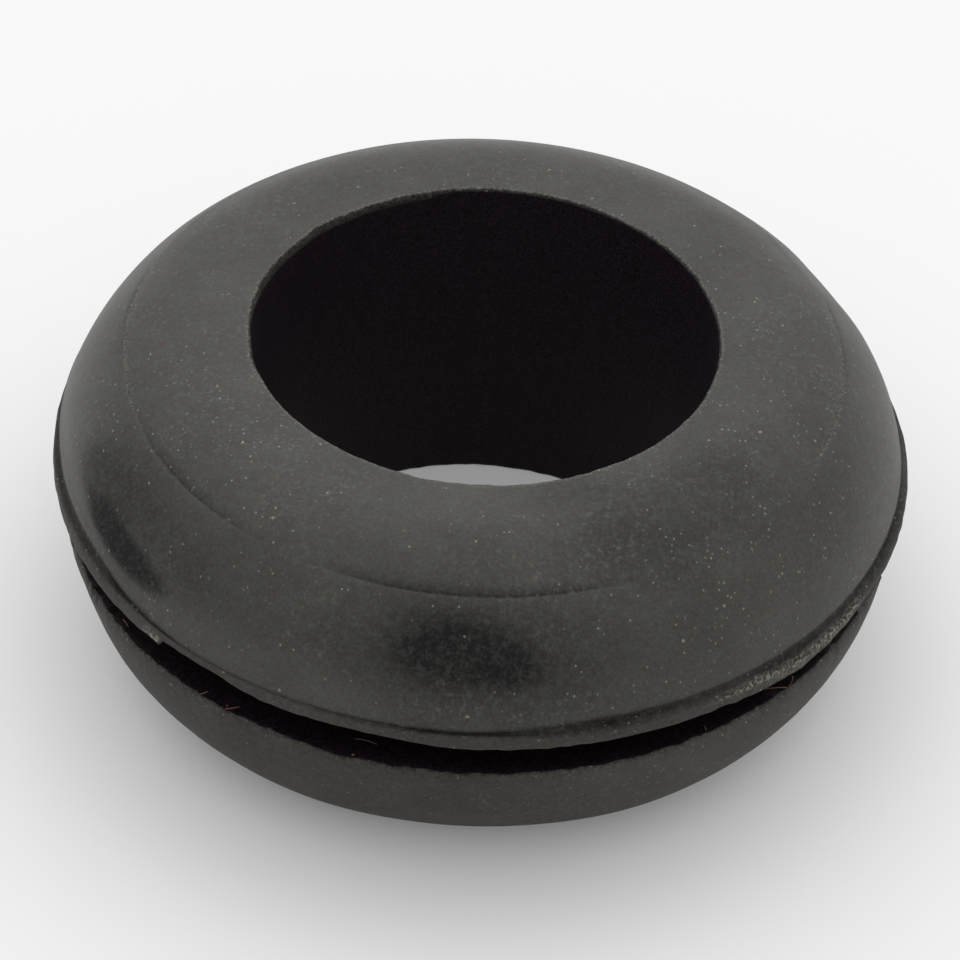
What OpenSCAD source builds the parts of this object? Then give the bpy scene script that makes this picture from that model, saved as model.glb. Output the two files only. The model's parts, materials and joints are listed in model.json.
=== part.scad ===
// Open rubber grommet, moulded in one piece.
// It lines a round hole in a thin panel, so that a cable can pass through without rubbing on the edge.
// The origin is the middle of the lower face, and +Z runs along the bore.

/* [Panel fit] */
// Diameter of the panel hole that the neck of the groove fills
neck_d = 20; // [17:0.5:22]
// Width of the groove, which is the thickness of the panel
groove_w = 1.5; // [1:0.1:3]

/* [Bore] */
// Diameter of the straight bore that the cable passes through
bore_d = 14; // [10:0.5:15.5]

/* [Flanges] */
// Height of each flange, from the groove to the flat land round the bore
flange_h = 4.85; // [3.5:0.05:7]
// Diameter of the upper flange at the foot of its dome
upper_d = 25.7; // [24:0.1:25.8]
// Diameter of the lower flange at the foot of its dome, where it came out a little narrower
lower_d = 25.25; // [24:0.05:25.8]
// Diameter of the flat land round the mouth of the bore
land_d = 16.9; // [16:0.1:18]
// Diameter of the faint ring where two mould plates met on the dome
ring_d = 21.7; // [20.5:0.1:22.5]
// How far the ring lies below the flat land
ring_drop = 0.98; // [0.7:0.02:1.2]
// How far the shoulder stands out beyond the crown at the ring
ring_step = 0.05; // [0.02:0.01:0.15]
// Radius of the crown, the gentle arc from the land out to the ring
crown_r = 4.3; // [3:0.1:9]
// Radius of the shoulder, the steeper arc from the ring down to the foot of the dome
shoulder_r = 6.15; // [4:0.05:12]

/* [Mould flash] */
// Diameter over the thin lip of flash left round the upper flange
lip_d = 26; // [25.9:0.1:28]
// Height of that lip above the groove
lip_h = 0.35; // [0.2:0.05:0.8]
// Diameter to which the edge of the lower flange was torn back where its lip came away
torn_d = 25.1; // [24:0.05:25.2]

/* [Hidden] */
$fn = 96;
height = 2 * flange_h + groove_w;
ring_r = ring_d / 2;
// Heights above the middle of the groove
groove_z = groove_w / 2;
foot_z = groove_z + lip_h;
land_z = groove_z + flange_h;
ring_z = land_z - ring_drop;

// Centre of the arc of radius r that runs from p out and down to q, with its centre on the bore's side
function arc_centre(p, q, r) =
    let (
        chord = q - p,
        half = norm(chord) / 2,
        inward = [chord.y, -chord.x] / norm(chord)
    )
    (p + q) / 2 + inward * sqrt(r * r - half * half);

// Everything between the axis and the arc through p and q, from the height of p down to low_z
module arc_band(p, q, r, low_z) {
    centre = arc_centre(p, q, r);
    intersection() {
        translate([0, low_z])
            square([lip_d, p.y - low_z]);
        union() {
            translate(centre)
                circle(r);
            translate([0, low_z])
                square([max(centre.x, bore_d / 4), p.y - low_z]);
        }
    }
}

// Half section of one domed flange of diameter foot_d, from the groove up to the land
module dome_section(foot_d) {
    land = [land_d / 2, land_z];
    crown_end = [ring_r - ring_step, ring_z];
    ring = [ring_r, ring_z];
    foot = [foot_d / 2, foot_z];
    arc_band(land, crown_end, crown_r, ring_z);
    arc_band(ring, foot, shoulder_r, groove_z);
}

// One domed flange of diameter foot_d, standing on the upper side of the groove
module flange(foot_d) {
    rotate_extrude()
        dome_section(foot_d);
}

// The thin square-edged band of flash round the foot of the upper dome
module flash_lip() {
    translate([0, 0, groove_z])
        cylinder(h = lip_h, d = lip_d);
}

// Everything inside the torn edge, which slopes in from the foot of the lower dome to the groove
module inside_tear() {
    reach = height / lip_h;
    spread = (lower_d - torn_d) / 2;
    translate([0, 0, -groove_z - height])
        cylinder(h = height, r1 = torn_d / 2 + spread * reach, r2 = torn_d / 2);
}

// The lower flange, whose own lip of flash was torn away
module torn_flange() {
    intersection() {
        mirror([0, 0, 1])
            flange(lower_d);
        inside_tear();
    }
}

// The neck, which fills the panel hole and runs a little way into both flanges
module neck() {
    cylinder(h = 2 * foot_z, d = neck_d, center = true);
}

// The straight bore, cut clean through both mouths
module bore() {
    cylinder(h = 2 * height, d = bore_d, center = true);
}

module grommet() {
    color("#4a4946")
        translate([0, 0, height / 2])
            difference() {
                union() {
                    flange(upper_d);
                    flash_lip();
                    neck();
                    torn_flange();
                }
                bore();
            }
}

grommet();
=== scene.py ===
"""A round rubber grommet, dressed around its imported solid.

The grommet is one moulding of black rubber: a domed flange on either side of a groove, with a straight bore.
Lengths in this file are millimetres, and angles are degrees. Heights are counted from the middle of the
groove. A bearing is an angle round the bore: 0 faces the front of the grommet, which is -Y, and 90 faces its
right, which is +X.
"""

import json
import logging
import math
import random
from dataclasses import dataclass, field
from enum import Enum, IntEnum

import bpy
import numpy as np
from mathutils import Matrix, Vector

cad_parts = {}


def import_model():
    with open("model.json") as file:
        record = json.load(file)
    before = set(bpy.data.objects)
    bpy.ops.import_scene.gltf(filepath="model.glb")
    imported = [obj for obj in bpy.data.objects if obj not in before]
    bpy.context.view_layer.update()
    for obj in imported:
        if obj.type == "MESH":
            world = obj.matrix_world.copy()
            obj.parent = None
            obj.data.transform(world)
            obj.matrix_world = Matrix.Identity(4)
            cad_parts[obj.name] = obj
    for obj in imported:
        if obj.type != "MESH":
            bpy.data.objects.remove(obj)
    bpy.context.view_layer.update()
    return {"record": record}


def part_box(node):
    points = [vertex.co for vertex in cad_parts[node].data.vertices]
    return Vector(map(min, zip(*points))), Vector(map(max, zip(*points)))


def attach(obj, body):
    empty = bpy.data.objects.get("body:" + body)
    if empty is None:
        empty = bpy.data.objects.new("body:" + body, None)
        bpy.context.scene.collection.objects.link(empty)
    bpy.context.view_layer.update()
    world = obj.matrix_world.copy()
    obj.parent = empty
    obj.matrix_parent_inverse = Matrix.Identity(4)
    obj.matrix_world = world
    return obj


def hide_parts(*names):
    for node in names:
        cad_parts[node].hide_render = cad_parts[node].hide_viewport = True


MM = 0.001
NODE = "grommet"
BODY = "root"
LOG = logging.getLogger("grommet")
WHITE = (1, 1, 1, 1)
# Sockets of Blender's Mix node when it mixes two colours
UNDER, OVER, MIXED = 6, 7, 2

Tree = bpy.types.NodeTree
Node = bpy.types.Node
Socket = bpy.types.NodeSocket
Spot = tuple[float, float]


def linear(code: str) -> tuple[float, float, float, float]:
    """Turn an sRGB colour into Blender's linear one.

    Args:
        code: The colour as six hex digits after a hash.

    Returns:
        Red, green, blue and an alpha of 1, all linear.
    """
    parts = [int(code[i : i + 2], 16) / 255 for i in (1, 3, 5)]
    red, green, blue = [p / 12.92 if p <= 0.04045 else ((p + 0.055) / 1.055) ** 2.4 for p in parts]
    return red, green, blue, 1.0


def add_node(tree: Tree, kind: str, inputs: dict | tuple = (), **settings: object) -> Node:
    """Add one shader node, with its settings and what its sockets take.

    Args:
        tree: The node tree that the node joins.
        kind: The node's type name in Blender, without the word ShaderNode.
        inputs: What its sockets take, by name or number, or in their order from the first one on. A socket is
            linked to another socket, or to a node's first output, and anything else is its value.
        settings: Properties of the node itself.

    Returns:
        The new node.
    """
    node = tree.nodes.new("ShaderNode" + kind)
    for name, value in settings.items():
        setattr(node, name, value)
    pairs = inputs.items() if isinstance(inputs, dict) else enumerate(inputs)
    for key, value in pairs:
        source = value.outputs[0] if isinstance(value, Node) else value
        if isinstance(source, Socket):
            tree.links.new(source, node.inputs[key])
        else:
            node.inputs[key].default_value = source
    return node


def empty_tree(owner: bpy.types.Material | bpy.types.World) -> Tree:
    """Give a material or a world a node tree with nothing in it.

    Args:
        owner: The material or the world.

    Returns:
        Its node tree.
    """
    owner.use_nodes = True
    owner.node_tree.nodes.clear()
    return owner.node_tree


def link_object(name: str, data: bpy.types.ID) -> bpy.types.Object:
    """Put a mesh or a camera into the scene.

    Args:
        name: The object's name.
        data: What it shows.

    Returns:
        The new object, at the origin.
    """
    thing = bpy.data.objects.new(name, data)
    bpy.context.scene.collection.objects.link(thing)
    return thing


def smooth(share: np.ndarray) -> np.ndarray:
    """Cap a share at 0 and 1, and ease it so that it is flat at both ends."""
    share = np.clip(share, 0, 1)
    return share * share * (3 - 2 * share)


class Skin(IntEnum):
    """The three surfaces of the moulding, in the order of the mesh's material slots."""

    BLOOMED = 0
    DULL = 1
    # The darker, bloom-free skin of the bore and the groove, partly painted shade of those recesses
    CLEAN_PAINTED_SHADE = 2


class Half(Enum):
    """Which flange a shape belongs to, as the first seed of its unevenness."""

    UPPER = 100
    LOWER = 200


@dataclass(frozen=True)
class Waver:
    """A seeded unevenness that runs round the bore and closes on itself.

    Attributes:
        seed: Seed of its random heights.
        height: Largest departure to either side.
        step: Length along the edge from one random height to the next.
        radius: Radius of the edge that it runs along.
    """

    seed: int
    height: float
    step: float
    radius: float

    def at(self, bearing: np.ndarray) -> np.ndarray:
        """Give the departure at each bearing.

        Args:
            bearing: Bearings in degrees.

        Returns:
            The departures, one for each bearing.
        """
        count = max(4, round(2 * math.pi * self.radius / self.step))
        draw = random.Random(self.seed)
        heights = [draw.uniform(-self.height, self.height) for _ in range(count)]
        knots = np.arange(count) * 360 / count
        return np.interp(bearing, knots, heights, period=360)

    def nibs(self, bearing: np.ndarray) -> np.ndarray:
        """Give the same departures with all but the highest pressed flat, as torn rubber has."""
        share = self.at(bearing) / self.height
        return self.height * share**5


@dataclass(frozen=True)
class Patch:
    """A stretch round the bore on which something is at its full height, with a ramp at each end.

    Attributes:
        start: Bearing at which the full height begins.
        end: Bearing at which the full height ends.
        height: Departure on the stretch.
        rise: Degrees over which it comes in before start.
        fall: Degrees over which it goes out after end.
    """

    start: float
    end: float
    height: float
    rise: float
    fall: float

    def at(self, bearing: np.ndarray) -> np.ndarray:
        """Give the departure at each bearing.

        Args:
            bearing: Bearings in degrees.

        Returns:
            The departures, one for each bearing.
        """
        middle = (self.start + self.end) / 2
        half = (self.end - self.start) / 2
        off = (bearing - middle + 180) % 360 - 180
        before = 1 - (-off - half) / self.rise
        after = 1 - (off - half) / self.fall
        return self.height * smooth(np.minimum(before, after))


def together(at: np.ndarray, *shapes: Waver | Patch) -> np.ndarray:
    """Add up what several wavers and patches give at each bearing."""
    return sum(shape.at(at) for shape in shapes)


@dataclass
class Ring:
    """One ring of the moulding's skin, from which the skin runs on to the next ring.

    Attributes:
        r: Its radius at each bearing.
        z: Its height at each bearing.
        skin: The surface from this ring to the next.
        scuff: How far its rubber is torn or scraped, from 0 to 1.
        film: How much of the bloom's film it carries, from 0 to 1. It is lowered as painted shade in the
            crease,
        in the witness ring's notch and on the lip's sides.
    """

    r: np.ndarray
    z: np.ndarray
    skin: Skin = Skin.BLOOMED
    scuff: np.ndarray | float = 0.0
    film: np.ndarray | float = 1.0


def arc(start: Spot, end: Spot, radius: float, count: int) -> list[Spot]:
    """Place points along an arc whose centre lies on the bore's side.

    Args:
        start: First point, as radius and height.
        end: Last point, further out and lower.
        radius: Radius of the arc.
        count: Number of equal steps.

    Returns:
        The points from start to end, both included.
    """
    chord = math.hypot(end[0] - start[0], end[1] - start[1])
    ahead = ((end[0] - start[0]) / chord, (end[1] - start[1]) / chord)
    inward = (ahead[1], -ahead[0])
    depth = math.sqrt(radius * radius - chord * chord / 4)
    centre = [(start[i] + end[i]) / 2 + inward[i] * depth for i in (0, 1)]
    first = math.atan2(start[1] - centre[1], start[0] - centre[0])
    last = math.atan2(end[1] - centre[1], end[0] - centre[0])
    turns = [first + (last - first) * i / count for i in range(count + 1)]
    return [(centre[0] + radius * math.cos(t), centre[1] + radius * math.sin(t)) for t in turns]


@dataclass(frozen=True)
class Sizes:
    """The sizes that the pieces of the moulding share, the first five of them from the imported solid.

    Attributes:
        bore_r: Radius of the bore.
        neck_r: Radius of the neck, the groove's floor.
        wall_z: Height of the groove's upper wall.
        top_z: Height of the upper land.
        lip_r: Radius over the lip of flash, the largest of all.
        lip_h: Height of the lip above the groove's wall.
    """

    bore_r: float
    neck_r: float
    wall_z: float
    top_z: float
    lip_r: float
    lip_h: float = 0.35

    @property
    def foot_z(self) -> float:
        """Height of the foot of the upper dome."""
        return self.wall_z + self.lip_h


@dataclass(frozen=True)
class Dome:
    """One domed flange, from the bore's wall over the land, the crown and the shoulder to its foot.

    Attributes:
        sizes: The shared sizes.
        half: Which flange it is.
        foot_r: Radius at its foot.
        land_r: Outer radius of the flat land round the bore.
        ring_r: Radius of the witness ring.
        ring_drop: How far the ring lies below the land.
        ring_step: How far the shoulder stands out beyond the crown at the ring.
        crown_r: Radius of the arc from the land to the ring.
        shoulder_r: Radius of the arc from the ring to the foot.
        mouth_edge: Width of the rounding at the mouth of the bore.
        strip_h: Height of the dull strip that the trimming left below that rounding.
        mouth_depth: How far down the bore the rings of the mouth begin.
        mouth_reach: How far out on the land they end.
        crown_steps: Steps from the land to the ring.
        shoulder_steps: Steps from the ring to the foot, of which only some become rings.
    """

    sizes: Sizes
    half: Half
    foot_r: float
    land_r: float = 8.45
    ring_r: float = 10.85
    ring_drop: float = 0.98
    ring_step: float = 0.05
    crown_r: float = 4.3
    shoulder_r: float = 6.15
    mouth_edge: float = 0.05
    strip_h: float = 0.03
    mouth_depth: float = 0.8
    mouth_reach: float = 0.75
    crown_steps: int = 8
    shoulder_steps: int = 36

    @property
    def ring_z(self) -> float:
        """Height of the witness ring."""
        return self.sizes.top_z - self.ring_drop

    def swell(self, at: np.ndarray) -> np.ndarray:
        """Give how far the dome swells or flattens, as rubber does once it is out of the mould.

        Args:
            at: Bearings of the steps round the bore.

        Returns:
            The departures outward, one for each bearing.
        """
        drift = Waver(self.half.value, 0.015, 9, self.foot_r)
        if self.half is Half.LOWER:
            flat_left, flat_front = Patch(-80, -70, -0.08, 8, 14), Patch(-6, 8, -0.1, 22, 22)
            return together(at, drift, flat_left, flat_front)
        swollen_left, hollow_right = Patch(-124, -102, 0.09, 34, 22), Patch(117, 121, -0.05, 8, 7)
        humps_beside = Patch(104, 109, 0.04, 12, 8), Patch(128, 131, 0.025, 7, 9)
        return together(at, drift, swollen_left, hollow_right, *humps_beside)

    def mouth(self, at: np.ndarray) -> list[Ring]:
        """Make the mouth of the bore, whose flash was trimmed off with a blade and left it slightly ragged.

        Args:
            at: Bearings of the steps round the bore.

        Returns:
            The rings from the bore's wall out to the land.
        """
        seed, bore_r, top = self.half.value, self.sizes.bore_r, self.sizes.top_z
        shapes = [Waver(seed + 1, 0.022, 0.3, bore_r), Waver(seed + 2, 0.03, 1.7, bore_r)]
        strip = self.strip_h + Waver(seed + 3, 0.012, 0.5, bore_r).at(at)
        if self.half is Half.UPPER:
            shapes += [Patch(-139, -132, 0.07, 1.5, 5), Patch(-78, -74, 0.05, 1.5, 6)]
            shapes += [Patch(-100, -70, 0.09, 35, 35), Patch(70, 110, 0.05, 35, 35)]
            uneven = 1 + Waver(seed + 4, 0.25, 1.6, bore_r).at(at)
            strip = strip + Patch(-158, -106, 0.2, 14, 20).at(at) * uneven
        ragged = together(at, *shapes)
        edge = self.mouth_edge
        still = np.zeros_like(at)
        low = top - edge - strip
        return [
            Ring(bore_r + still, top - self.mouth_depth + still, Skin.CLEAN_PAINTED_SHADE),
            Ring(bore_r + 0.6 * np.maximum(ragged, 0), low - 0.03, Skin.DULL, film=0.15),
            Ring(bore_r + 0.004 + 0.7 * ragged, low, Skin.DULL, film=0.45),
            Ring(bore_r + 0.3 * edge + ragged, top - 0.7 * edge + still, Skin.DULL, scuff=0.1, film=0.5),
            Ring(bore_r + edge + ragged, top - 0.1 * edge + still, scuff=0.3),
            Ring(bore_r + 2 * edge + ragged, top + still, scuff=0.12),
            Ring(bore_r + 4 * edge + 0.5 * ragged, top + still),
            Ring(bore_r + self.mouth_reach + still, top + still),
        ]

    def witness_ring(self, at: np.ndarray) -> list[Ring]:
        """Make the faint line where two plates of the mould met.

        It is a fine dark notch in front and a scraped edge on either side. Elsewhere it can hardly be seen.
        The notch is darkened by painted shade as well as by its shape, as the bloom is thinned where it bites
        deep.

        Args:
            at: Bearings of the steps round the bore.

        Returns:
            The rings across the line.
        """
        flush = scraped = np.zeros_like(at)
        bite = 0.28 + Waver(self.half.value + 5, 0.14, 1.3, self.ring_r).at(at)
        if self.half is Half.UPPER:
            fading = Patch(-36, -30, 0.55, 14, 12), Patch(30, 60, 0.85, 16, 14), Patch(116, 244, 1.0, 15, 15)
            flush = together(at, *fading)
            bite = bite + Patch(-8, 4, 1.0, 20, 26).at(at) + Patch(-58, -46, 0.5, 16, 16).at(at)
            scraped = together(at, Patch(-112, -78, 0.22, 12, 12), Patch(74, 108, 0.22, 12, 12))
        inner = self.ring_r - self.ring_step * (1 - flush) + self.swell(at)
        bite = bite * (1 - flush)
        # Painted shade in the notch: less bloom where it bites deeper
        clear = 1 - 0.65 * np.clip(bite, 0, 1)
        faint = 0.5 + 0.5 * clear
        low_z = self.ring_z - 0.036 - 0.006 * bite - 0.014 * flush
        return [
            Ring(inner - 0.045, self.ring_z + 0.036 + 0 * at, scuff=0.5 * scraped, film=faint),
            Ring(inner - 0.01, self.ring_z + 0.01 - 0.03 * bite, scuff=scraped, film=clear),
            Ring(inner + 0.03, self.ring_z - 0.014 - 0.03 * bite - 0.01 * flush, scuff=scraped, film=clear),
            Ring(inner + 0.075 - 0.02 * flush, low_z, film=faint),
        ]

    def rings(self, at: np.ndarray) -> list[Ring]:
        """Make the whole dome, down to just above its foot.

        Args:
            at: Bearings of the steps round the bore.

        Returns:
            The rings from the bore's wall to the foot.
        """
        swell = self.swell(at)
        land, crown_end = (self.land_r, self.sizes.top_z), (self.ring_r - self.ring_step, self.ring_z)
        ring, foot = (self.ring_r, self.ring_z), (self.foot_r, self.sizes.foot_z)
        crown = arc(land, crown_end, self.crown_r, self.crown_steps)
        shoulder = arc(ring, foot, self.shoulder_r, self.shoulder_steps)
        upper = self.half is Half.UPPER
        # Every step where the dark patches lie, and every third or fourth elsewhere
        picks = [1, *range(3, 18, 3), *range(18, 31)] if upper else [1, *range(4, 33, 4)]
        rings = self.mouth(at)
        rings += [Ring(r + swell * i / self.crown_steps, z + 0 * at) for i, (r, z) in enumerate(crown[:-1])]
        rings += self.witness_ring(at)
        rings += [Ring(shoulder[i][0] + swell, shoulder[i][1] + 0 * at) for i in picks]
        return rings


@dataclass(frozen=True)
class FlashLip:
    """The thin lip of flash round the foot of the upper dome, and the crease between it and the dome.

    Attributes:
        sizes: The shared sizes.
        dome: The dome that the lip hangs from.
        edge: Radius of the rounding at its lower edge.
        lean: How far the dome's foot leans in for each millimetre up.
    """

    sizes: Sizes
    dome: Dome
    edge: float = 0.04
    lean: float = 0.18

    def reach(self, at: np.ndarray) -> np.ndarray:
        """Give how far the lip stands out, a little further on the right."""
        edge_r = self.sizes.lip_r
        return edge_r + Patch(70, 95, 0.06, 8, 20).at(at) + Waver(131, 0.012, 0.4, edge_r).at(at) - 0.01

    def hang(self, at: np.ndarray) -> np.ndarray:
        """Give the height of the lip's lower edge.

        It sags on the front and the right, up to a nick. On the left a flap of it ends abruptly, and beside
        the flap most of its height was torn off.

        Args:
            at: Bearings of the steps round the bore.

        Returns:
            The heights, one for each bearing.
        """
        sag = together(at, Patch(4, 40, 0.19, 20, 30), Patch(48, 56, 0.2, 14, 12))
        flap = Patch(-112, -45.2, 0.07, 12, 0.9).at(at)
        torn = Patch(-44.2, -37, -0.24, 0.9, 10).at(at)
        rough = 1 + Patch(34, 64, 0.8, 8, 4).at(at)
        edge_r = self.sizes.lip_r
        ragged = together(at, Waver(132, 0.026, 0.3, edge_r), Waver(133, 0.02, 1.6, edge_r))
        return self.sizes.wall_z - sag - flap - torn - 0.02 + ragged * rough

    def crease(self, at: np.ndarray) -> list[Ring]:
        """Make the crease, a dark line in front that opens into a shallow valley on either side.

        Args:
            at: Bearings of the steps round the bore.

        Returns:
            The rings from the foot of the dome through the crease to the rim of the lip.
        """
        foot_r, foot_z = self.dome.foot_r, self.sizes.foot_z
        swell = self.dome.swell(at)
        right = Patch(20, 80, 1.0, 22, 30).at(at)
        left = Patch(-108, -62, 1.0, 25, 14).at(at)
        notch = 0.005 + Patch(-2, 6, 0.08, 12, 14).at(at) + Patch(-53, -49, 0.06, 6, 5).at(at)
        uneven = Waver(134, 0.012, 0.8, self.sizes.lip_r).at(at)
        start_z = foot_z - 0.02 + 0.26 * right + 0.42 * left + uneven
        start_r = foot_r - self.lean * (start_z - foot_z) + swell
        rim_z = foot_z - 0.03 - Patch(18, 34, 0.1, 16, 30).at(at) - Patch(48, 58, 0.2, 9, 8).at(at)
        rim_z = rim_z + Patch(-110, -52, 0.13, 20, 10).at(at)
        rim_r = self.reach(at) - 0.04 - 0.12 * Patch(42, 58, 1.0, 8, 13).at(at)
        floor_z = rim_z - notch + 0.14 * right
        floor_r = foot_r + 0.025 - 0.7 * notch - 0.055 * right - 0.045 * left + 0.5 * swell
        # Painted shade: the bloom in the crease is thinned, most in front and on the right, so that it looks
        # darker
        film = 1 - Patch(-4, 8, 0.45, 24, 30).at(at) - Patch(20, 74, 0.6, 12, 22).at(at)
        film = film - Patch(44, 76, 0.25, 10, 16).at(at)
        film = film - Patch(-54, -49, 0.2, 8, 6).at(at) - Patch(-82, -54, 0.65, 15, 10).at(at)
        front = Patch(-16, 8, 1.0, 16, 14).at(at)
        hollow_r, hollow_z = 0.6 * floor_r + 0.4 * rim_r, 0.75 * floor_z + 0.25 * rim_z
        # The crease's rings carry that painted shade, with more of it in front
        return [
            Ring(start_r - 0.14 * self.lean, start_z + 0.14),
            Ring(start_r - 0.05 * self.lean, start_z + 0.05, film=0.65 + 0.35 * film - 0.3 * front),
            Ring(start_r, start_z, Skin.DULL, film=0.3 + 0.7 * film - 0.2 * front),
            Ring(0.6 * start_r + 0.4 * floor_r - 0.01, 0.6 * start_z + 0.4 * floor_z, Skin.DULL, film=film),
            Ring(floor_r, floor_z, Skin.DULL, film=film),
            Ring(hollow_r, hollow_z, Skin.DULL, film=0.2 + 0.8 * film - 0.35 * front),
            Ring(rim_r, rim_z, Skin.DULL, film=0.5 + 0.5 * film - 0.25 * front),
        ]

    def rings(self, at: np.ndarray) -> list[Ring]:
        """Make the crease, the lip's outer face and its lower edge, in to the groove's upper wall.

        Args:
            at: Bearings of the steps round the bore.

        Returns:
            The rings from the foot of the dome to the groove's upper wall.
        """
        reach, low = self.reach(at), self.hang(at)
        rough = Patch(38, 60, 1.0, 7, 5).at(at)
        torn = Patch(47, 60, 1.0, 8, 5).at(at)
        tip = Patch(-47.4, -45.2, 1.0, 1.0, 0.6).at(at)
        fray = Patch(38, 55, 1.0, 7, 4).at(at)
        edge_r = self.sizes.lip_r
        frayed = fray * together(at, Waver(136, 0.025, 0.2, edge_r), Waver(137, 0.02, 0.7, edge_r))
        crease = self.crease(at)
        crease[-1].scuff = 0.2 * rough
        ridge_z = crease[-1].z - 0.06 - Patch(-10, 12, 0.05, 20, 20).at(at)
        # Painted shade on the lip's sides: its bloom is thinned on the right, and a little on the left
        film = 1 - Patch(66, 120, 0.35, 6, 20).at(at) - Patch(-120, -58, 0.15, 20, 8).at(at)
        worn = 0.1 + 0.2 * torn + 0.9 * tip + Patch(-74, -56, 0.3, 8, 6).at(at)
        middle_z, lower_z = 0.6 * ridge_z + 0.4 * low, 0.15 * ridge_z + 0.85 * low
        return crease + [
            Ring(reach - 0.012 + 0.4 * frayed, ridge_z, Skin.DULL, scuff=0.75 * rough, film=film),
            Ring(reach + 0.6 * frayed, middle_z, Skin.DULL, scuff=0.5 * torn + 0.6 * tip, film=film),
            Ring(reach + frayed, lower_z, Skin.DULL, scuff=0.2 * torn + tip, film=film),
            Ring(reach - 0.3 * self.edge, low + 0.6 * self.edge, Skin.DULL, scuff=worn, film=film),
            Ring(reach - self.edge, low + 0.1 * self.edge, Skin.DULL, scuff=worn, film=0.5),
            Ring(reach - 2.5 * self.edge, low, Skin.CLEAN_PAINTED_SHADE),
            Ring(reach - 0.35, 0.5 * low + 0.5 * self.sizes.wall_z, Skin.CLEAN_PAINTED_SHADE),
            Ring(reach - 0.9, self.sizes.wall_z + 0 * at, Skin.CLEAN_PAINTED_SHADE),
        ]


@dataclass(frozen=True)
class Groove:
    """The groove that grips the panel: its floor is the neck, with a small fillet on either side.

    Attributes:
        sizes: The shared sizes.
        fillet: Radius of the fillets.
    """

    sizes: Sizes
    fillet: float = 0.14

    def rings(self, at: np.ndarray) -> list[Ring]:
        """Make the groove's floor.

        Args:
            at: Bearings of the steps round the bore.

        Returns:
            The rings from its upper wall to its lower one.
        """
        neck_r, wall = self.sizes.neck_r, self.sizes.wall_z
        corner = 0.3 * self.fillet
        steps = [(self.fillet, wall), (corner, wall - corner), (0.0, wall - self.fillet)]
        steps += [(out, -z) for out, z in reversed(steps)]
        return [Ring(neck_r + out + 0 * at, z + 0 * at, Skin.CLEAN_PAINTED_SHADE) for out, z in steps]


@dataclass(frozen=True)
class TornEdge:
    """The ragged edge of the lower flange, from which its own lip of flash was pulled off.

    Attributes:
        sizes: The shared sizes.
        dome: The dome that the edge ends.
        torn_r: Radius to which the edge was torn back.
    """

    sizes: Sizes
    dome: Dome
    torn_r: float = 12.55

    def rings(self, at: np.ndarray) -> list[Ring]:
        """Make the edge.

        Args:
            at: Bearings of the steps round the bore.

        Returns:
            The rings from the groove's lower wall out to the foot of the lower dome.
        """
        coarse = Waver(231, 0.03, 1.3, self.torn_r).at(at)
        fine = Waver(232, 0.026, 0.2, self.torn_r).at(at)
        nibs = Waver(233, 0.16, 0.34, self.torn_r).nibs(at)
        torn = coarse + fine + nibs
        lift = Waver(234, 0.035, 0.26, self.torn_r).at(at) + 0.7 * nibs - Patch(-14, 6, 0.05, 14, 12).at(at)
        wall = -self.sizes.wall_z + 0 * at
        foot_r, foot_z = self.dome.foot_r, -self.sizes.foot_z
        return [
            Ring(self.torn_r - 0.9 + 0 * at, wall, Skin.CLEAN_PAINTED_SHADE),
            Ring(self.torn_r - 0.22 + 0.3 * torn, wall + 0.3 * lift, Skin.CLEAN_PAINTED_SHADE),
            Ring(self.torn_r - 0.045 + torn, wall + lift - 0.002, Skin.DULL, scuff=0.1, film=0.6),
            Ring(self.torn_r + 0.01 + torn, wall + lift - 0.035, Skin.DULL, scuff=0.1, film=0.8),
            Ring(self.torn_r + 0.035 + 0.6 * torn, wall + 0.4 * lift - 0.13, Skin.DULL, scuff=0.02),
            Ring(foot_r - 0.01 + 0.15 * torn, foot_z + 0.04 + 0 * at, Skin.DULL),
        ]


@dataclass(frozen=True)
class Rub:
    """A soft-edged place where the bloom is thinner or thicker than elsewhere, or where dust has gathered.

    Attributes:
        bearing: Bearing of its middle.
        r: Radius of its middle.
        z: Height of its middle.
        along: How far round the bore from its middle half the loss is left.
        across: How far over the dome from its middle half the loss is left.
        loss: Share of the bloom that is gone in its middle, or below zero where more has gathered. For dust,
            how much thicker it lies there.
    """

    bearing: float
    r: float
    z: float
    along: float
    across: float
    loss: float

    def at(self, bearing: np.ndarray, r: np.ndarray, z: np.ndarray) -> np.ndarray:
        """Give the loss at each point.

        Args:
            bearing: Bearings of the points.
            r: Radii of the points.
            z: Heights of the points.

        Returns:
            The losses, all of it in the middle and none at the edge.
        """
        turn = np.radians((bearing - self.bearing + 180) % 360 - 180) * self.r
        away = np.hypot(turn / self.along, np.hypot(r - self.r, z - self.z) / self.across)
        return self.loss * smooth(1.5 - away)


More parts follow.
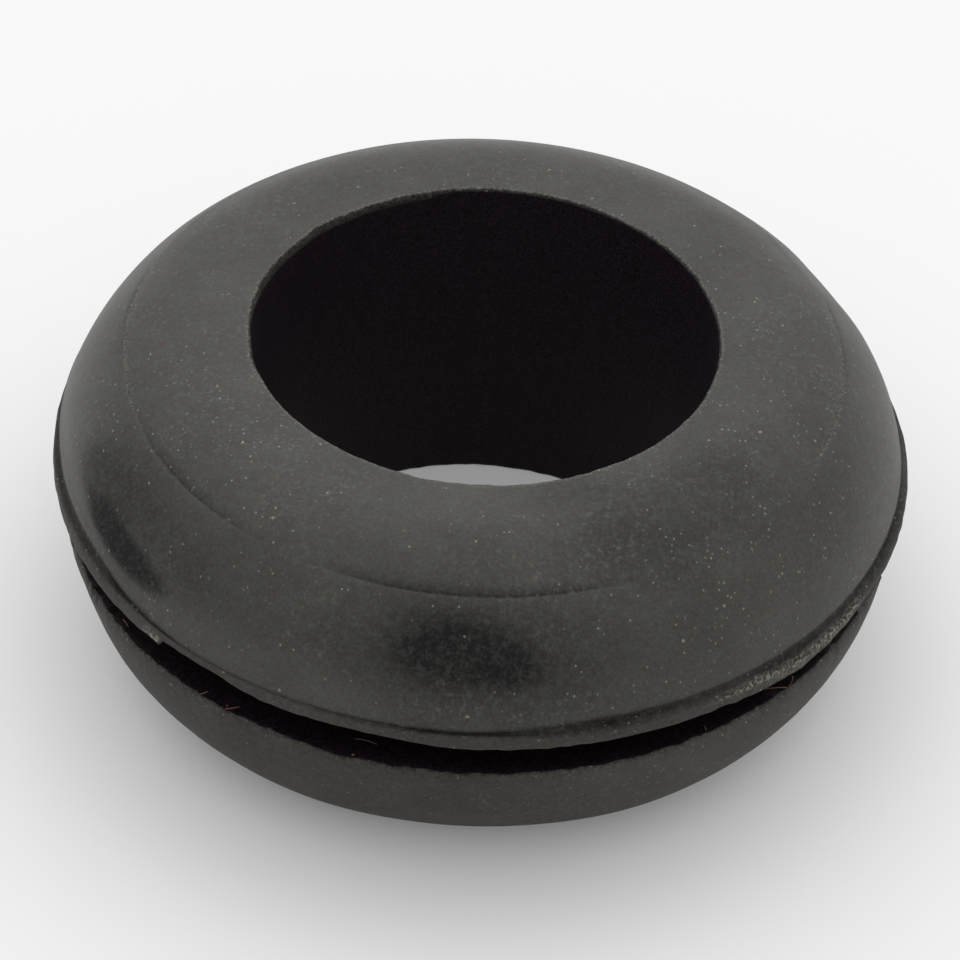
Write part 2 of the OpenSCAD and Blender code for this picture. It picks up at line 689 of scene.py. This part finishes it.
@dataclass
class Moulding:
    """The whole grommet as one closed skin.

    Attributes:
        sizes: The shared sizes.
        upper_r: Radius at the foot of the upper dome.
        lower_r: Radius at the foot of the lower dome, which came out a little narrower.
        fine: Degrees from one step round the bore to the next on the front.
        coarse: The same on the back.
        front: Bearing on either side up to which the steps are fine.
        rubs_and_painted_reflections: Where the bloom is thin or thick. The first three make the dark patch in
        front and the next five the one on the left: painted dark reflections, of the camera's side in front
        and of a dark gap low on the left, laid on as lost bloom. Then come faint rubbed places, and lighter
        stretches on the dome's shoulder and on the right of the lower flange.
        clumps: Where specks of dust have gathered.
    """

    sizes: Sizes
    upper_r: float = 12.85
    lower_r: float = 12.625
    fine: float = 0.3
    coarse: float = 0.6
    front: float = 115.0
    rubs_and_painted_reflections: tuple[Rub, ...] = (
        # Painted dark reflection of the camera's side, laid on as lost bloom: the patch in front
        Rub(-2.5, 12.0, 3.45, 1.9, 1.05, 0.9),
        Rub(5, 12.18, 3.05, 1.2, 0.7, 0.85),
        Rub(0, 12.05, 3.3, 3.8, 2.0, 0.4),
        # Painted dark reflection of a dark gap low on the left, laid on as lost bloom: the patch on the left
        Rub(-61.5, 12.44, 2.45, 1.35, 0.5, 0.95),
        Rub(-56.5, 12.48, 2.35, 1.4, 0.48, 0.95),
        Rub(-52.0, 12.52, 2.22, 1.3, 0.4, 0.85),
        Rub(-60, 12.2, 3.1, 3.8, 1.6, 0.42),
        Rub(-66, 12.15, 3.15, 1.8, 1.0, 0.3),
        Rub(38, 9.3, 5.35, 3.8, 1.8, 0.42),
        Rub(20, 7.6, 5.6, 1.4, 0.6, 0.3),
        Rub(94, 12.65, 2.0, 4.0, 1.5, 0.2),
        # Lighter stretches, where more bloom is laid on
        Rub(-33, 12.7, 1.8, 5.0, 0.9, -0.22),
        Rub(-78, 12.72, 1.95, 3.4, 0.5, -0.3),
        Rub(40, 12.0, 3.6, 3.0, 1.5, -0.15),
        Rub(48, 12.7, 1.9, 4.0, 0.9, -0.15),
        Rub(45, 12.3, -2.6, 7.0, 3.2, -0.25),
    )
    clumps: tuple[Rub, ...] = (
        Rub(-64, 9.35, 5.4, 2.4, 1.1, 1.3),
        Rub(71, 10.5, 4.85, 1.6, 0.6, 1.3),
        Rub(38, 10.5, 4.85, 3.2, 0.9, 0.9),
        Rub(45, 12.2, -2.8, 5.0, 2.4, 0.8),
    )
    at: np.ndarray = field(init=False)

    def __post_init__(self) -> None:
        """Work out the bearings of the steps round the bore."""
        ahead = np.arange(-self.front, self.front, self.fine)
        behind = np.arange(self.front, 360 - self.front, self.coarse)
        self.at = np.concatenate([ahead, behind])

    def rings(self) -> list[Ring]:
        """Make every ring of the skin.

        Returns:
            The rings from the bore's wall over the upper flange and the lower one back to the bore.
        """
        upper = Dome(self.sizes, Half.UPPER, self.upper_r)
        lower = Dome(self.sizes, Half.LOWER, self.lower_r)
        rings = upper.rings(self.at) + FlashLip(self.sizes, upper).rings(self.at)
        rings += Groove(self.sizes).rings(self.at) + TornEdge(self.sizes, lower).rings(self.at)
        below = lower.rings(self.at)[::-1]
        for ring, after in zip(below, below[1:] + below[-1:]):
            skin = Skin.CLEAN_PAINTED_SHADE if after.skin is Skin.CLEAN_PAINTED_SHADE else Skin.DULL
            rings.append(Ring(ring.r, -ring.z, skin, ring.scuff, ring.film))
        return rings

    def bloom(self, r: np.ndarray, z: np.ndarray) -> np.ndarray:
        """Give how much of the bloom lies at each point.

        Args:
            r: Radii, one row for each ring.
            z: Heights, one row for each ring.

        Returns:
            The shares of a whole film, above 1 where more has gathered.
        """
        left = np.ones_like(r)
        # The first eight places are painted dark reflections, laid on as lost bloom
        for rub in self.rubs_and_painted_reflections:
            left *= 1 - rub.at(self.at[None, :], r, z)
        return left

    def dust(self, r: np.ndarray, z: np.ndarray) -> np.ndarray:
        """Give how thickly specks of dust lie at each point, thickest on the sides and in the clumps.

        Args:
            r: Radii, one row for each ring.
            z: Heights, one row for each ring.

        Returns:
            The thickness, around 1.
        """
        sides = Patch(30, 98, 0.8, 28, 30).at(self.at) + Patch(-95, -45, 0.5, 30, 24).at(self.at)
        thick = 0.45 + np.where(z > 0, 1.0, 0.7) * sides[None, :]
        for clump in self.clumps:
            thick += clump.at(self.at[None, :], r, z)
        return thick

    def build(self, materials: list[bpy.types.Material]) -> bpy.types.Object:
        """Make the mesh and its object.

        Args:
            materials: One material for each Skin, in its order.

        Returns:
            The grommet's object.
        """
        rings = self.rings()
        steps = len(self.at)
        r = np.stack([ring.r for ring in rings])
        z = np.clip(np.stack([ring.z for ring in rings]), -self.sizes.top_z, self.sizes.top_z)
        turn = np.radians(self.at)[None, :]
        points = np.stack([r * np.sin(turn), -r * np.cos(turn), z + self.sizes.top_z], axis=-1)
        here = np.arange(len(rings))[:, None] * steps + np.arange(steps)[None, :]
        beside = np.roll(here, -1, axis=1)
        faces = np.stack([here, np.roll(here, -1, axis=0), np.roll(beside, -1, axis=0), beside], axis=-1)
        mesh = bpy.data.meshes.new("grommet_moulding")
        mesh.from_pydata((points.reshape(-1, 3) * MM).tolist(), [], faces.reshape(-1, 4).tolist())
        for material in materials:
            mesh.materials.append(material)
        skins = np.repeat([int(ring.skin) for ring in rings], steps).astype(np.int32)
        mesh.polygons.foreach_set("material_index", skins)
        mesh.polygons.foreach_set("use_smooth", np.ones(len(skins), dtype=bool))
        scuff = np.stack([ring.scuff + 0 * self.at for ring in rings])
        film = np.stack([ring.film + 0 * self.at for ring in rings])
        bloom = self.bloom(r, z)
        # The bloom attribute also carries the painted shade of the crease, the witness ring's notch and the
        # lip's sides, and the painted dark reflections in front and on the left
        for name, values in (("bloom", bloom * film), ("scuff", scuff), ("dust", self.dust(r, z) * bloom)):
            layer = mesh.attributes.new(name, "FLOAT", "POINT")
            layer.data.foreach_set("value", values.astype(np.float32).ravel())
        mesh.update()
        return link_object("grommet_moulding", mesh)


@dataclass(frozen=True)
class Fibre:
    """A short fibre or crumb of lint, tapered at both ends.

    Attributes:
        points: Its start, middle and end, each as bearing, radius and height.
        radius: Half its thickness.
    """

    points: tuple[tuple[float, float, float], ...]
    radius: float = 0.014

    def along(self, share: float) -> Vector:
        """Give a point on the curve through its three points.

        Args:
            share: Share of its length at which the point lies.

        Returns:
            The point.
        """
        ends = [
            Vector((r * math.sin(math.radians(turn)), -r * math.cos(math.radians(turn)), z))
            for turn, r, z in self.points
        ]
        pull = 2 * ends[1] - (ends[0] + ends[2]) / 2
        return (1 - share) ** 2 * ends[0] + 2 * share * (1 - share) * pull + share**2 * ends[2]


@dataclass(frozen=True)
class Lint:
    """Loose lint in the mouth of the groove: a few cotton fibres, and two crumbs of dust.

    Attributes:
        lift: Height of the groove's middle above the floor.
        fibres: The fibres.
        steps: Steps along each fibre.
        sides: Sides of each fibre.
    """

    lift: float
    fibres: tuple[Fibre, ...] = (
        Fibre(((-39.5, 12.53, -0.78), (-38.2, 12.62, -0.5), (-37.5, 12.6, -0.33))),
        Fibre(((-34.8, 12.53, -0.76), (-33.6, 12.64, -0.5), (-31.9, 12.62, -0.24))),
        Fibre(((-34.0, 12.6, -0.6), (-34.2, 12.62, -0.5), (-34.0, 12.62, -0.4)), 0.011),
        Fibre(((-57.8, 12.34, -0.74), (-57.0, 12.34, -0.69), (-55.9, 12.35, -0.74)), 0.02),
        Fibre(((-16.4, 11.8, -0.74), (-14.5, 11.82, -0.67), (-12.6, 11.84, -0.73))),
        Fibre(((34.6, 12.2, -0.74), (34.4, 12.35, -0.66), (34.3, 12.48, -0.74))),
        Fibre(((45.3, 11.95, -0.74), (47.6, 12.35, -0.66), (48.9, 12.56, -0.72)), 0.018),
        Fibre(((48.6, 12.56, -0.74), (49.3, 12.6, -0.45), (49.1, 12.6, -0.22))),
        Fibre(((48.8, 12.66, -1.66), (49.0, 12.665, -1.65), (49.2, 12.66, -1.66)), 0.035),
        Fibre(((-15.35, 12.57, -0.64), (-15.2, 12.58, -0.62), (-15.05, 12.57, -0.64)), 0.03),
    )
    steps: int = 10
    sides: int = 6

    def build(self, material: bpy.types.Material) -> bpy.types.Object:
        """Make the mesh and its object.

        Args:
            material: What the lint is made of.

        Returns:
            The lint's object.
        """
        points: list[Vector] = []
        faces: list[tuple[int, ...]] = []
        for fibre in self.fibres:
            self.add_tube(fibre, points, faces)
        mesh = bpy.data.meshes.new("groove_lint")
        mesh.from_pydata([p * MM for p in points], [], faces)
        mesh.materials.append(material)
        mesh.polygons.foreach_set("use_smooth", [True] * len(faces))
        mesh.update()
        return link_object("groove_lint", mesh)

    def add_tube(self, fibre: Fibre, points: list[Vector], faces: list[tuple[int, ...]]) -> None:
        """Add one fibre as a closed tube with a point at either end.

        Args:
            fibre: The fibre.
            points: The mesh's points, to which the tube's are added.
            faces: The mesh's faces, to which the tube's are added.
        """
        up = Vector((0, 0, self.lift))
        askew = Vector((0.3, 0.2, 1))  # No fibre runs along it
        nearby = 0.01
        first = len(points)
        points.append(fibre.along(0) + up)
        for step in range(1, self.steps):
            share = step / self.steps
            here = fibre.along(share) + up
            ahead = (fibre.along(share + nearby) - fibre.along(share - nearby)).normalized()
            side = ahead.cross(askew).normalized()
            over = ahead.cross(side)
            thick = fibre.radius * math.sqrt(1 - (2 * share - 1) ** 4)
            for i in range(self.sides):
                turn = 2 * math.pi * i / self.sides
                points.append(here + thick * (math.cos(turn) * side + math.sin(turn) * over))
        points.append(fibre.along(1) + up)
        last = len(points) - 1
        for i in range(self.sides):
            j = (i + 1) % self.sides
            faces.append((first, first + 1 + j, first + 1 + i))
            for step in range(self.steps - 2):
                low = first + 1 + step * self.sides
                faces.append((low + i, low + j, low + self.sides + j, low + self.sides + i))
            faces.append((last - self.sides + i, last - self.sides + j, last))


@dataclass(frozen=True)
class Finish:
    """What the surface of a piece is made of.

    Attributes:
        name: The material's name.
    """

    name: str = "plain"

    def build(self) -> bpy.types.Material:
        """Make the material.

        Returns:
            The new material.
        """
        material = bpy.data.materials.new(self.name)
        self.dress(empty_tree(material))
        return material

    def dress(self, tree: Tree) -> None:
        """Add the finish's nodes, which each kind of finish does in its own way.

        Args:
            tree: The material's empty node tree.
        """
        raise NotImplementedError


@dataclass(frozen=True)
class Rubber(Finish):
    """Moulded rubber, with the grain that its cavity leaves.

    Attributes:
        ior: Index of refraction, typical for rubber.
        gloss: Strength of the highlight.
        grain_depth: Depth of the grain.
        grain_share: Share of that depth that shows.
    """

    ior: float = 1.5
    gloss: float = 0.35
    grain_depth: float = 0.015
    grain_share: float = 0.35

    def surface(self, tree: Tree, colour: Socket, roughness: Node | float, grain: Node) -> None:
        """Add the shader and the output, with the grain as a fine bump.

        Args:
            tree: The material's node tree.
            colour: Colour of the rubber.
            roughness: Roughness of its surface.
            grain: The noise that stands for the grain.
        """
        bump = {"Height": grain, "Strength": self.grain_share, "Distance": self.grain_depth * MM}
        inputs = {"Base Color": colour, "Roughness": roughness, "Normal": add_node(tree, "Bump", bump)}
        inputs |= {"IOR": self.ior, "Specular IOR Level": self.gloss}
        add_node(tree, "OutputMaterial", (add_node(tree, "BsdfPrincipled", inputs),))


class Pattern(Enum):
    """The uneven patterns in the bloom, each with the width of its blotches and its finer layers."""

    MOTTLE = (2.4, 5.0)
    BLOTCH = (0.3, 3.0)
    GRAIN = (0.1, 2.0)
    TALC = (0.17, 2.0)
    TALC_DRIFT = (4.0, 3.0)
    DUST_DRIFT = (2.2, 3.0)


@dataclass(frozen=True)
class Dust:
    """One size of the dust specks, small crumbs at random that gather in clusters.

    Attributes:
        cell: Distance from one possible speck to the next.
        size: Radius of a speck.
        few: Share of the possible specks that are there where there are fewest.
        most: Share of them that are there in the thick of a cluster.
    """

    cell: float
    size: float
    few: float
    most: float


@dataclass(frozen=True)
class OuterRubber(Rubber):
    """Moulded natural rubber with carbon black, as its outer faces come from the mould.

    The cavity leaves a fine satin grain, and a thin grey bloom of wax and talc has come to the surface. The
    eye sees a soft warm grey with a mottle of pink and green in it, darker and more matt where the bloom is
    thin, and pale specks of dust all over. The bloom is also thinned to paint light and shade: the two dark
    patches on the dome are painted dark reflections, and the crease, the witness ring's notch and the lip's
    sides carry painted shade. The lip and the lower flange came from a coarser cavity and look duller.

    Attributes:
        warm: The bloom's pinker shade.
        green: The bloom's greener shade.
        black: The rubber under the bloom.
        torn: Rubber that is torn or scraped.
        talc: Talc that clings.
        pink_dust: The pinker dust.
        green_dust: The greener dust.
        roughness: Roughness where the bloom is whole.
        bare: Roughness where it is gone.
        noise_span: Where the noise of a pattern mostly lies.
        dusts: The sizes of its dust specks.
    """

    name: str = "bloomed_rubber"
    warm: str = "#554e49"
    green: str = "#4b4e48"
    black: str = "#0b090a"
    torn: str = "#a09a8e"
    talc: str = "#8a877c"
    pink_dust: str = "#a89a8c"
    green_dust: str = "#8c9c90"
    roughness: float = 0.45
    bare: float = 0.85
    noise_span: tuple[float, float] = (0.3, 0.7)
    dusts: tuple[Dust, ...] = (Dust(0.19, 0.028, 0.25, 1.0), Dust(0.55, 0.042, 0.12, 0.6))

    def dress(self, tree: Tree) -> None:
        """Add the finish's nodes.

        Args:
            tree: The material's empty node tree.
        """
        place = add_node(tree, "TexCoord").outputs["Object"]
        noise = {}
        for pattern in Pattern:
            width, layers = pattern.value
            sockets = {"Vector": place, "Scale": 1 / (width * MM), "Detail": layers, "Roughness": 0.65}
            noise[pattern] = add_node(tree, "TexNoise", sockets)
        bloom = add_node(tree, "Attribute", attribute_name="bloom").outputs["Fac"]
        tint = add_node(tree, "MapRange", (noise[Pattern.BLOTCH], 0.38, 0.62))
        shades = {0: tint, UNDER: linear(self.warm), OVER: linear(self.green)}
        film = add_node(tree, "Mix", shades, data_type="RGBA").outputs[MIXED]
        coats = [(self.film_left(tree, noise, bloom), film)]
        coats.append((self.wear(tree, noise), linear(self.torn)))
        coats.append((self.chalk(tree, noise), linear(self.talc)))
        coats += [self.specks(tree, noise, place, dust) for dust in self.dusts]
        colour = linear(self.black)
        for share, coat in coats:
            mix = add_node(tree, "Mix", {0: share, UNDER: colour, OVER: coat}, data_type="RGBA")
            colour = mix.outputs[MIXED]
        roughness = add_node(tree, "MapRange", (bloom, 0.0, 0.75, self.bare, self.roughness))
        self.surface(tree, colour, roughness, noise[Pattern.GRAIN])

    def film_left(self, tree: Tree, noise: dict[Pattern, Node], bloom: Socket) -> Node:
        """Add the share of the bloom's film that is left, crumbly where it is thin, both where it was worn
        away and where it is thinned as painted shade and painted reflection.

        Args:
            tree: The material's node tree.
            noise: The noise of each pattern.
            bloom: How much of the bloom the mesh has at each point.

        Returns:
            The share at each point.
        """
        uneven = 1.0
        swings = ((Pattern.MOTTLE, 0.5, 0.76), (Pattern.BLOTCH, 0.84, 1.16), (Pattern.GRAIN, 0.75, 1.25))
        for pattern, least, most in swings:
            swing = add_node(tree, "MapRange", (noise[pattern], *self.noise_span, least, most))
            uneven = add_node(tree, "Math", (uneven, swing), operation="MULTIPLY")
        both = add_node(tree, "Math", (noise[Pattern.BLOTCH], noise[Pattern.GRAIN]), operation="ADD")
        crumbs = add_node(tree, "MapRange", (both, 0.92, 1.26, -0.06, 0.34))
        gone = add_node(tree, "Math", (1.0, bloom), operation="SUBTRACT")
        whole = add_node(tree, "Math", (bloom, uneven), operation="MULTIPLY")
        thinned_crumbs = add_node(tree, "Math", (gone, crumbs), operation="MULTIPLY")
        return add_node(tree, "Math", (whole, thinned_crumbs), operation="ADD")

    def wear(self, tree: Tree, noise: dict[Pattern, Node]) -> Node:
        """Add the share of torn or scraped rubber, in flecks.

        Args:
            tree: The material's node tree.
            noise: The noise of each pattern.

        Returns:
            The share at each point.
        """
        scuff = add_node(tree, "Attribute", attribute_name="scuff").outputs["Fac"]
        flecks = add_node(tree, "MapRange", (noise[Pattern.GRAIN], 0.44, 0.62))
        return add_node(tree, "Math", (scuff, flecks), operation="MULTIPLY")

    def chalk(self, tree: Tree, noise: dict[Pattern, Node]) -> Node:
        """Add the share of talc that clings in faint blotches, thicker on some parts than on others.

        Args:
            tree: The material's node tree.
            noise: The noise of each pattern.

        Returns:
            The share at each point.
        """
        spots = add_node(tree, "MapRange", (noise[Pattern.TALC], 0.56, 0.72))
        where = add_node(tree, "MapRange", (noise[Pattern.TALC_DRIFT], 0.42, 0.66, 0.03, 0.27))
        return add_node(tree, "Math", (spots, where), operation="MULTIPLY")

    def specks(
        self, tree: Tree, noise: dict[Pattern, Node], place: Socket, dust: Dust
    ) -> tuple[Node, Socket]:
        """Add dust specks of one size, each with a ragged outline and a brightness of its own.

        Args:
            tree: The material's node tree.
            noise: The noise of each pattern.
            place: The point's place in the object.
            dust: The specks' size and number.

        Returns:
            The share of dust at each point, and the dust's colour.
        """
        rim = 1.6 * dust.size
        jitter = add_node(tree, "TexNoise", {"Vector": place, "Scale": 1 / (rim * MM), "Detail": 1.0})
        shaken = (jitter.outputs["Color"], (rim * MM,) * 3, place)
        shake = add_node(tree, "VectorMath", shaken, operation="MULTIPLY_ADD")
        grid = {"Vector": shake, "Scale": 1 / (dust.cell * MM), "Randomness": 1.0}
        cells = add_node(tree, "TexVoronoi", grid).outputs
        heart = 0.35 * dust.size
        dot = add_node(tree, "MapRange", (cells["Distance"], heart / dust.cell, rim / dust.cell, 1.0, 0.0))
        pick = add_node(tree, "SeparateColor", {"Color": cells["Color"]}).outputs
        thick = add_node(tree, "Attribute", attribute_name="dust").outputs["Fac"]
        drift = add_node(tree, "MapRange", (noise[Pattern.DUST_DRIFT], 0.42, 0.66, dust.few, dust.most))
        many = add_node(tree, "Math", (drift, thick), operation="MULTIPLY")
        there = add_node(tree, "Math", (pick["Red"], many), operation="LESS_THAN")
        bright = add_node(tree, "Math", (pick["Green"], 2.0), operation="POWER")
        shown = add_node(tree, "Math", (dot, there), operation="MULTIPLY")
        share = add_node(tree, "Math", (shown, bright), operation="MULTIPLY")
        shades = {0: pick["Blue"], UNDER: linear(self.pink_dust), OVER: linear(self.green_dust)}
        return share, add_node(tree, "Mix", shades, data_type="RGBA").outputs[MIXED]


@dataclass(frozen=True)
class CleanRubberPaintedShade(Rubber):
    """The same rubber in the bore and the groove, where steel cores left it smooth and no bloom has come.

    The eye sees a deep black with a hint of purple and a fine grain, which barely takes a highlight. As it
    has no bloom it is darker than the outer faces, and that darkness in the bore and the groove is painted
    shade of those recesses.

    Attributes:
        black: The rubber itself.
        brown: The lighter flecks of its grain.
        roughness: Roughness of its surface.
        grain: Width of the grain.
    """

    name: str = "clean_rubber"
    gloss: float = 0.17
    grain_share: float = 0.3
    black: str = "#050305"
    brown: str = "#2b1b27"
    roughness: float = 0.6
    grain: float = 0.075

    def dress(self, tree: Tree) -> None:
        """Add the finish's nodes.

        Args:
            tree: The material's empty node tree.
        """
        place = add_node(tree, "TexCoord").outputs["Object"]
        sockets = {"Vector": place, "Scale": 1 / (self.grain * MM), "Detail": 2.0, "Roughness": 0.7}
        grain = add_node(tree, "TexNoise", sockets)
        flecks = add_node(tree, "MapRange", (grain, 0.4, 0.66))
        shades = {0: flecks, UNDER: linear(self.black), OVER: linear(self.brown)}
        tint = add_node(tree, "Mix", shades, data_type="RGBA")
        self.surface(tree, tint.outputs[MIXED], self.roughness, grain)


@dataclass(frozen=True)
class CottonLint(Finish):
    """Cotton fibre, fluffy and matt. The eye sees pale tan threads.

    Attributes:
        tan: The cotton's colour.
        roughness: Roughness of the fibre.
        gloss: Strength of the highlight.
    """

    name: str = "cotton_lint"
    tan: str = "#73584c"
    roughness: float = 0.9
    gloss: float = 0.2

    def dress(self, tree: Tree) -> None:
        """Add the finish's nodes.

        Args:
            tree: The material's empty node tree.
        """
        inputs = {"Base Color": linear(self.tan), "Roughness": self.roughness}
        inputs["Specular IOR Level"] = self.gloss
        add_node(tree, "OutputMaterial", (add_node(tree, "BsdfPrincipled", inputs),))


@dataclass(frozen=True)
class StudioPaper(Finish):
    """Matt white background paper, calendered smooth.

    The eye sees plain white with the grommet's soft shadow on it. A little of its white doesn't come from the
    tent's light, so that the open sheet reaches full white in the picture and in reflections.

    Attributes:
        lit: The colour that sends light back to the grommet.
        seen: The colour that the camera and reflections see.
        glow: Share of what is seen that is plain white.
    """

    name: str = "studio_paper"
    lit: str = "#cacaca"
    seen: str = "#fafafa"
    glow: float = 0.12

    def dress(self, tree: Tree) -> None:
        """Add the finish's nodes.

        Args:
            tree: The material's empty node tree.
        """
        lit = add_node(tree, "BsdfDiffuse", {"Color": linear(self.lit)})
        seen = add_node(tree, "BsdfDiffuse", {"Color": linear(self.seen)})
        white = add_node(tree, "Emission", {"Color": WHITE, "Strength": 1.0})
        sheet = add_node(tree, "MixShader", (self.glow, seen, white))
        path = add_node(tree, "LightPath").outputs
        looked_at = path["Is Camera Ray"]
        for ray in ("Is Glossy Ray", "Is Transmission Ray"):
            looked_at = add_node(tree, "Math", (looked_at, path[ray]), operation="MAXIMUM")
        add_node(tree, "OutputMaterial", (add_node(tree, "MixShader", (looked_at, lit, sheet)),))


@dataclass(frozen=True)
class LightTent:
    """The white tent round the grommet, brightest overhead and at the back, and dimmer towards the camera.

    Attributes:
        wall: Strength of its wall at the level of the floor.
        roof: Strength of its roof.
        wall_top: Sine of the elevation at which the wall begins to brighten.
        roof_edge: Sine of the elevation from which it is as bright as the roof.
        front: Share of the light that is left on the camera's side.
        front_edge: How far towards the front the dimmest part begins, from 0 at the side to 1 in front.
    """

    wall: float = 0.7
    roof: float = 1.77
    wall_top: float = 0.22
    roof_edge: float = 0.79
    front: float = 0.5
    front_edge: float = 0.48

    def build(self) -> bpy.types.World:
        """Make the world that stands for the tent.

        Returns:
            The new world.
        """
        world = bpy.data.worlds.new("light_tent")
        tree = empty_tree(world)
        way = add_node(tree, "TexCoord").outputs["Generated"]
        axes = add_node(tree, "SeparateXYZ", {"Vector": way}).outputs
        upward = (axes["Z"], self.wall_top, self.roof_edge, self.wall, self.roof)
        backward = (axes["Y"], -self.front_edge, 1.0, self.front, 1.0)
        height = add_node(tree, "MapRange", upward, interpolation_type="SMOOTHSTEP")
        depth = add_node(tree, "MapRange", backward, interpolation_type="SMOOTHSTEP")
        strength = add_node(tree, "Math", (height, depth), operation="MULTIPLY")
        glow = add_node(tree, "Background", {"Color": WHITE, "Strength": strength})
        add_node(tree, "OutputWorld", (glow,))
        return world


@dataclass
class Studio:
    """The floor, the light and the camera.

    Attributes:
        elevation: The camera's height above the horizon as an angle, seen from the grommet's foot.
        roll: How far the picture is turned clockwise.
        distance: From the camera to the grommet's origin.
        lens_mm: Focal length of its lens.
        sensor_mm: Width of its sensor.
        aim_right: How far the picture's middle lies to the right of the origin, in the picture's plane.
        aim_up: How far it lies above the origin, in the picture's plane.
        near: Distance from the camera at which it begins to see.
        far: Distance at which it stops.
        floor_half: Half the width of the sheet of paper.
    """

    elevation: float = 41.64
    roll: float = 2.66
    distance: float = 195.0
    lens_mm: float = 234.5
    sensor_mm: float = 36.0
    aim_right: float = 0.225
    aim_up: float = 4.09
    near: float = 10.0
    far: float = 10000.0
    floor_half: float = 3000.0

    def camera(self) -> bpy.types.Object:
        """Set up the camera.

        Returns:
            The camera's object.
        """
        rise = math.radians(self.elevation)
        back = Vector((0, -math.cos(rise), math.sin(rise)))
        level = Vector((1, 0, 0))
        turn = Matrix.Rotation(math.radians(self.roll), 3, back)
        right, up = turn @ level, turn @ back.cross(level)
        place = back * self.distance
        behind = (place - right * self.aim_right - up * self.aim_up).normalized()
        right = up.cross(behind).normalized()
        up = behind.cross(right)
        data = bpy.data.cameras.new("camera")
        data.lens = self.lens_mm
        data.sensor_width = self.sensor_mm
        data.clip_start = self.near * MM
        data.clip_end = self.far * MM
        eye = link_object("camera", data)
        eye.matrix_world = Matrix.Translation(place * MM) @ Matrix((right, up, behind)).transposed().to_4x4()
        bpy.context.scene.camera = eye
        return eye

    def floor(self) -> bpy.types.Object:
        """Lay the sheet of paper that the grommet lies on.

        Returns:
            The floor's object.
        """
        half = self.floor_half * MM
        corners = [(-half, -half, 0), (half, -half, 0), (half, half, 0), (-half, half, 0)]
        mesh = bpy.data.meshes.new("floor")
        mesh.from_pydata(corners, [], [(0, 1, 2, 3)])
        mesh.materials.append(StudioPaper().build())
        sheet = link_object("floor", mesh)
        return sheet

    def build(self) -> None:
        """Set up everything that isn't the grommet."""
        self.camera()
        self.floor()
        bpy.context.scene.world = LightTent().build()
        bpy.context.scene.view_settings.view_transform = "Standard"


def main() -> None:
    """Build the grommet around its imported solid, and the studio round it."""
    logging.basicConfig(level=logging.INFO, format="%(name)s: %(message)s")
    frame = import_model()
    low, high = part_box(NODE)
    mounts = {mount["name"]: mount["dims"] for mount in frame["record"]["mounts"]}
    sizes = Sizes(
        bore_r=mounts["bore"]["r_mm"],
        neck_r=mounts["panel_groove"]["r_mm"],
        wall_z=mounts["panel_groove"]["length_mm"] / 2,
        top_z=(high[2] - low[2]) / 2 / MM,
        lip_r=(high[0] - low[0]) / 2 / MM,
    )
    Studio().build()
    dull = OuterRubber("dull_rubber", warm="#56504b", green="#4e4e4a", roughness=0.7, gloss=0.3)
    moulding = Moulding(sizes).build([OuterRubber().build(), dull.build(), CleanRubberPaintedShade().build()])
    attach(moulding, BODY)
    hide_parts(NODE)
    LOG.info("%s: %d faces", moulding.name, len(moulding.data.polygons))
    lint = Lint(sizes.top_z).build(CottonLint().build())
    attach(lint, BODY)
    LOG.info("%s: %d faces", lint.name, len(lint.data.polygons))


if __name__ == "__main__":
    main()
